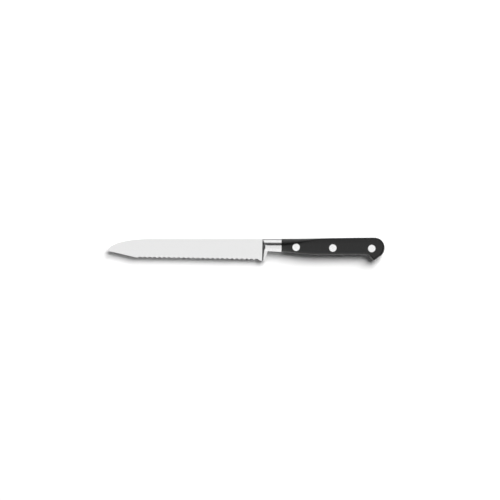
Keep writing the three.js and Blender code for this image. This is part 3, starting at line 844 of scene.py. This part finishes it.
KEY_DEGREES = 33
KEY_DISTANCE = 2.6
KEY_SIDEWAYS = 0.9
KEY_SIZE = (1.9, 2.2)
KEY_RADIANCE = 10.7
REFLECTED_DISTANCE = 2.8
REFLECTED_LAMPS = {  # degrees from straight up towards the spine's side, size and radiance
    "overhead": (-18.5, (3.2, 2.75), 0.96),
    "front": (-63, (3.2, 1.9), 1.08),
    "side_high": (52, (3.2, 1.0), 0.9),
    "side_low": (74, (3.2, 1.2), 1.12),
}
END_DISTANCE = 2.7
END_HEIGHT = 0.75
END_SIZE = (2.4, 1.0)
END_RADIANCE = 0.6
WALL_LEVEL = 1.0
CEILING_LEVEL = 0.07
WALL_TOP = (0.10, 0.22)  # the height of the direction, from the pale wall to the dim ceiling


def lamp(name, position, size, radiance, reflected=True):
    """A rectangular lamp of that radiance, turned to the knife. Sizes in metres.

    A reflected lamp shows only in the gloss of the knife. Any other lamp lights only matt surfaces.
    """
    data = bpy.data.lights.new(name, "AREA")
    data.shape = "RECTANGLE"
    data.size, data.size_y = size
    data.energy = radiance * math.pi * size[0] * size[1]
    obj = bpy.data.objects.new(name, data)
    obj.location = position
    obj.rotation_euler = Vector(position).to_track_quat("Z", "Y").to_euler()
    obj.visible_camera = False
    obj.visible_diffuse = not reflected
    obj.visible_glossy = reflected
    if reflected:
        obj.light_linking.receiver_collection = KNIFE
    bpy.context.scene.collection.objects.link(obj)


def towards(degrees, distance, sideways=0.0):
    """A place seen from the knife that many degrees from straight up, towards the spine's side."""
    angle = math.radians(degrees)
    return (sideways, distance * math.sin(angle), distance * math.cos(angle))


def white_room():
    """A pale wall round the table under a dim ceiling. To matt surfaces the wall is dim as well."""
    world = bpy.data.worlds.new("room")
    world.use_nodes = True
    tree = world.node_tree
    background = tree.nodes["Background"]
    background.inputs["Color"].default_value = (1, 1, 1, 1)
    direction = tree.nodes.new("ShaderNodeTexCoord")
    height = tree.nodes.new("ShaderNodeSeparateXYZ")
    strength = tree.nodes.new("ShaderNodeMapRange")
    strength.interpolation_type = "SMOOTHSTEP"
    strength.inputs["From Min"].default_value, strength.inputs["From Max"].default_value = WALL_TOP
    strength.inputs["To Min"].default_value = WALL_LEVEL
    strength.inputs["To Max"].default_value = CEILING_LEVEL
    tree.links.new(direction.outputs["Generated"], height.inputs["Vector"])
    tree.links.new(height.outputs["Z"], strength.inputs["Value"])
    room = tree.nodes.new("ShaderNodeMapRange")
    room.inputs["To Min"].default_value = CEILING_LEVEL
    tree.links.new(white_where_seen(tree), room.inputs["Value"])
    tree.links.new(strength.outputs["Result"], room.inputs["To Max"])
    tree.links.new(room.outputs["Result"], background.inputs["Strength"])
    return world


lamp("key", towards(KEY_DEGREES, KEY_DISTANCE, KEY_SIDEWAYS), KEY_SIZE, KEY_RADIANCE, reflected=False)
for lamp_name, (lamp_degrees, lamp_size, lamp_radiance) in REFLECTED_LAMPS.items():
    lamp(lamp_name, towards(lamp_degrees, REFLECTED_DISTANCE), lamp_size, lamp_radiance)
for end in (-1, 1):
    lamp("end", (END_DISTANCE * end, 0, END_HEIGHT), END_SIZE, END_RADIANCE)
bpy.context.scene.world = white_room()


# Camera

PIXEL = 0.7747  # millimetres of the knife in one pixel of the photo
PICTURE = 500  # the photo's width in pixels
CENTRE = (-9.374, -8.754, 0)  # the middle of the photo, in the knife's axes
CAMERA_HEIGHT = 2.0  # metres
SCALE_HEIGHT = 0.008  # metres, the height at which a pixel has the size above
SENSOR_WIDTH = 36
CLIP_END = 100  # metres

camera_data = bpy.data.cameras.new("camera")
camera_data.sensor_width = SENSOR_WIDTH
camera_data.lens = SENSOR_WIDTH * (CAMERA_HEIGHT - SCALE_HEIGHT) / (PIXEL * PICTURE * MILLIMETRE)
camera_data.clip_end = CLIP_END
camera = bpy.data.objects.new("camera", camera_data)
aim = place(CENTRE)
camera.location = (aim[0], aim[1], CAMERA_HEIGHT)
bpy.context.scene.collection.objects.link(camera)
bpy.context.scene.camera = camera
bpy.context.scene.view_settings.view_transform = "Standard"
